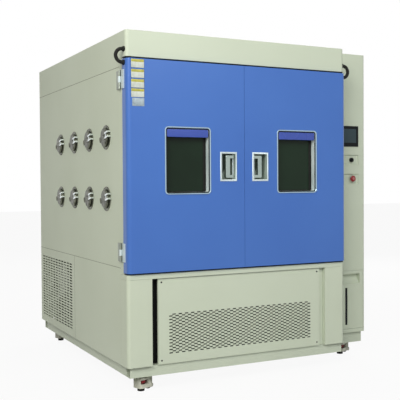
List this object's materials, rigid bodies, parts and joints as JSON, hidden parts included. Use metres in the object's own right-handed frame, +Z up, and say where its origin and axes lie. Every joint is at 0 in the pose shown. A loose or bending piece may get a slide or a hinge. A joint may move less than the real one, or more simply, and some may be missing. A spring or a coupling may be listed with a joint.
{
  "type": "environmental test chamber",
  "caption": "Walk-up climatic test chamber with paired insulated doors, windowed, capped cable ports on one side, grilled machine space and a set-back control column, on levelling casters.",
  "frame": {"origin": "on the floor in the middle of the footprint", "axes": "+X to the right as seen by the user, +Y from the doors to the back, +Z up"},
  "size_m": [1.9904, 1.946, 2.166],
  "materials": {
    "cabinet_paint": "satin powder coat",
    "frame_paint": "satin powder coat",
    "door_blue": "satin powder coat",
    "stainless": "brushed",
    "polished_steel": "polished",
    "zinc_steel": "zinc plated",
    "foam": "foam",
    "rubber_black": "matt",
    "black_paint": "matt",
    "cast_grey": "cast and painted",
    "fin_aluminium": "mill",
    "glass": "tinted",
    "screen_plastic": "matt",
    "knob_plastic": "matt",
    "stop_red": "gloss",
    "fan_plastic": "matt",
    "nylon_white": "matt",
    "conduit_steel": "spiral wound"
  },
  "bodies": {
    "cabinet": {"base_frame": "frame_paint", "left_side_panel": "cabinet_paint", "left_lower_panel": "cabinet_paint", "right_side_panel": "cabinet_paint", "rear_panel": "cabinet_paint", "roof_cap": "cabinet_paint", "front_frame": "cabinet_paint", "front_grille_panel": "cabinet_paint", "door_frame": "cabinet_paint", "inner_liner": "stainless", "insulation": "foam", "air_baffle": "stainless", "coil_bank": "fin_aluminium", "fan_motor": "black_paint", "compressor": "black_paint", "condenser": "zinc_steel", "port_necks": "stainless", "hinge_brackets": "polished_steel", "shelf_uprights": "stainless", "control_column": "cabinet_paint", "column_recesses": "cabinet_paint", "touch_screen": "screen_plastic", "door_conduits": "conduit_steel"},
    "fan_wheel": {"fan_wheel": "zinc_steel"},
    "condenser_fan": {"condenser_fan": "fan_plastic"},
    "power_knob": {"power_knob": "knob_plastic"},
    "stop_button": {"stop_button": "stop_red"},
    "water_drawer": {"water_drawer": "cabinet_paint"},
    "lower_shelf": {"lower_shelf": "stainless"},
    "upper_shelf": {"upper_shelf": "stainless"},
    "left_door": {"left_door_skin": "door_blue", "left_door_liner": "foam", "left_door_gasket": "rubber_black", "left_window_trim": "polished_steel", "left_window_glass": "glass", "left_door_fittings": "polished_steel"},
    "left_handle": {"left_handle_grip": "zinc_steel"},
    "right_door": {"right_door_skin": "door_blue", "right_door_liner": "foam", "right_door_gasket": "rubber_black", "right_window_trim": "polished_steel", "right_window_glass": "glass", "right_door_fittings": "polished_steel"},
    "right_handle": {"right_handle_grip": "zinc_steel"},
    "port_cap_1": {"port_cap_1": "stainless"},
    "port_cap_2": {"port_cap_2": "stainless"},
    "port_cap_3": {"port_cap_3": "stainless"},
    "port_cap_4": {"port_cap_4": "stainless"},
    "port_cap_5": {"port_cap_5": "stainless"},
    "port_cap_6": {"port_cap_6": "stainless"},
    "port_cap_7": {"port_cap_7": "stainless"},
    "port_cap_8": {"port_cap_8": "stainless"},
    "caster_front_left": {"caster_front_left": "cast_grey"},
    "wheel_front_left": {"wheel_front_left": "nylon_white"},
    "caster_front_right": {"caster_front_right": "cast_grey"},
    "wheel_front_right": {"wheel_front_right": "nylon_white"},
    "caster_rear_left": {"caster_rear_left": "cast_grey"},
    "wheel_rear_left": {"wheel_rear_left": "nylon_white"},
    "caster_rear_right": {"caster_rear_right": "cast_grey"},
    "wheel_rear_right": {"wheel_rear_right": "nylon_white"}
  },
  "joints": [
    {"name": "left_door_hinge", "type": "hinge", "parent": "cabinet", "child": "left_door", "pos_m": [-0.9435, -0.869, 1.356], "axis": [0, 0, -1], "range_deg": [0, 110], "deforming": ["door_conduits"]},
    {"name": "right_door_hinge", "type": "hinge", "parent": "cabinet", "child": "right_door", "pos_m": [0.6535, -0.869, 1.356], "axis": [0, 0, 1], "range_deg": [0, 110], "deforming": ["door_conduits"]},
    {"name": "left_handle_pull", "type": "hinge", "parent": "left_door", "child": "left_handle", "pos_m": [-0.221, -0.945, 1.355], "axis": [0, 0, 1], "range_deg": [0, 30], "stiffness_Nm_per_rad": 1},
    {"name": "right_handle_pull", "type": "hinge", "parent": "right_door", "child": "right_handle", "pos_m": [-0.069, -0.945, 1.355], "axis": [0, 0, -1], "range_deg": [0, 30], "stiffness_Nm_per_rad": 1},
    {"name": "port_cap_1_hinge", "type": "hinge", "parent": "cabinet", "child": "port_cap_1", "pos_m": [-0.9465, -0.53449, 1.52786], "axis": [0, -0.2079, -0.9781], "range_deg": [0, 115]},
    {"name": "port_cap_2_hinge", "type": "hinge", "parent": "cabinet", "child": "port_cap_2", "pos_m": [-0.9465, -0.20949, 1.52786], "axis": [0, -0.2079, -0.9781], "range_deg": [0, 115]},
    {"name": "port_cap_3_hinge", "type": "hinge", "parent": "cabinet", "child": "port_cap_3", "pos_m": [-0.9465, 0.11551, 1.52786], "axis": [0, -0.2079, -0.9781], "range_deg": [0, 115]},
    {"name": "port_cap_4_hinge", "type": "hinge", "parent": "cabinet", "child": "port_cap_4", "pos_m": [-0.9465, 0.44051, 1.52786], "axis": [0, -0.2079, -0.9781], "range_deg": [0, 115]},
    {"name": "port_cap_5_hinge", "type": "hinge", "parent": "cabinet", "child": "port_cap_5", "pos_m": [-0.9465, -0.53449, 1.14486], "axis": [0, -0.2079, -0.9781], "range_deg": [0, 115]},
    {"name": "port_cap_6_hinge", "type": "hinge", "parent": "cabinet", "child": "port_cap_6", "pos_m": [-0.9465, -0.20949, 1.14486], "axis": [0, -0.2079, -0.9781], "range_deg": [0, 115]},
    {"name": "port_cap_7_hinge", "type": "hinge", "parent": "cabinet", "child": "port_cap_7", "pos_m": [-0.9465, 0.11551, 1.14486], "axis": [0, -0.2079, -0.9781], "range_deg": [0, 115]},
    {"name": "port_cap_8_hinge", "type": "hinge", "parent": "cabinet", "child": "port_cap_8", "pos_m": [-0.9465, 0.44051, 1.14486], "axis": [0, -0.2079, -0.9781], "range_deg": [0, 115]},
    {"name": "fan_spin", "type": "hinge", "parent": "cabinet", "child": "fan_wheel", "pos_m": [-0.145, 0.705, 1.862], "axis": [0, 0, 1], "continuous": true},
    {"name": "condenser_fan_spin", "type": "hinge", "parent": "cabinet", "child": "condenser_fan", "pos_m": [-0.8425, 0.559, 0.454], "axis": [1, 0, 0], "continuous": true},
    {"name": "power_knob_turn", "type": "hinge", "parent": "cabinet", "child": "power_knob", "pos_m": [0.8755, -0.727, 1.413], "axis": [0, 1, 0], "range_deg": [0, 90]},
    {"name": "stop_button_push", "type": "slide", "parent": "cabinet", "child": "stop_button", "axis": [0, 1, 0], "range_m": [0, 0.006], "stiffness_N_per_m": 300},
    {"name": "water_drawer_slide", "type": "slide", "parent": "cabinet", "child": "water_drawer", "axis": [0, -1, 0], "range_m": [0, 0.25]},
    {"name": "lower_shelf_slide", "type": "slide", "parent": "cabinet", "child": "lower_shelf", "axis": [0, -1, 0], "range_m": [0, 0.15]},
    {"name": "upper_shelf_slide", "type": "slide", "parent": "cabinet", "child": "upper_shelf", "axis": [0, -1, 0], "range_m": [0, 0.15]},
    {"name": "front_left_swivel", "type": "hinge", "parent": "cabinet", "child": "caster_front_left", "pos_m": [-0.8125, -0.847, 0.06], "axis": [0, 0, 1], "continuous": true},
    {"name": "front_left_roll", "type": "hinge", "parent": "caster_front_left", "child": "wheel_front_left", "pos_m": [-0.76364, -0.82921, 0.031], "axis": [-0.342, 0.9397, 0], "continuous": true},
    {"name": "front_right_swivel", "type": "hinge", "parent": "cabinet", "child": "caster_front_right", "pos_m": [0.8585, -0.607, 0.06], "axis": [0, 0, 1], "continuous": true},
    {"name": "front_right_roll", "type": "hinge", "parent": "caster_front_right", "child": "wheel_front_right", "pos_m": [0.90736, -0.58921, 0.031], "axis": [-0.342, 0.9397, 0], "continuous": true},
    {"name": "rear_left_swivel", "type": "hinge", "parent": "cabinet", "child": "caster_rear_left", "pos_m": [-0.8125, 0.839, 0.06], "axis": [0, 0, 1], "continuous": true},
    {"name": "rear_left_roll", "type": "hinge", "parent": "caster_rear_left", "child": "wheel_rear_left", "pos_m": [-0.76364, 0.85679, 0.031], "axis": [-0.342, 0.9397, 0], "continuous": true},
    {"name": "rear_right_swivel", "type": "hinge", "parent": "cabinet", "child": "caster_rear_right", "pos_m": [0.8585, 0.839, 0.06], "axis": [0, 0, 1], "continuous": true},
    {"name": "rear_right_roll", "type": "hinge", "parent": "caster_rear_right", "child": "wheel_rear_right", "pos_m": [0.90736, 0.85679, 0.031], "axis": [-0.342, 0.9397, 0], "continuous": true}
  ]
}
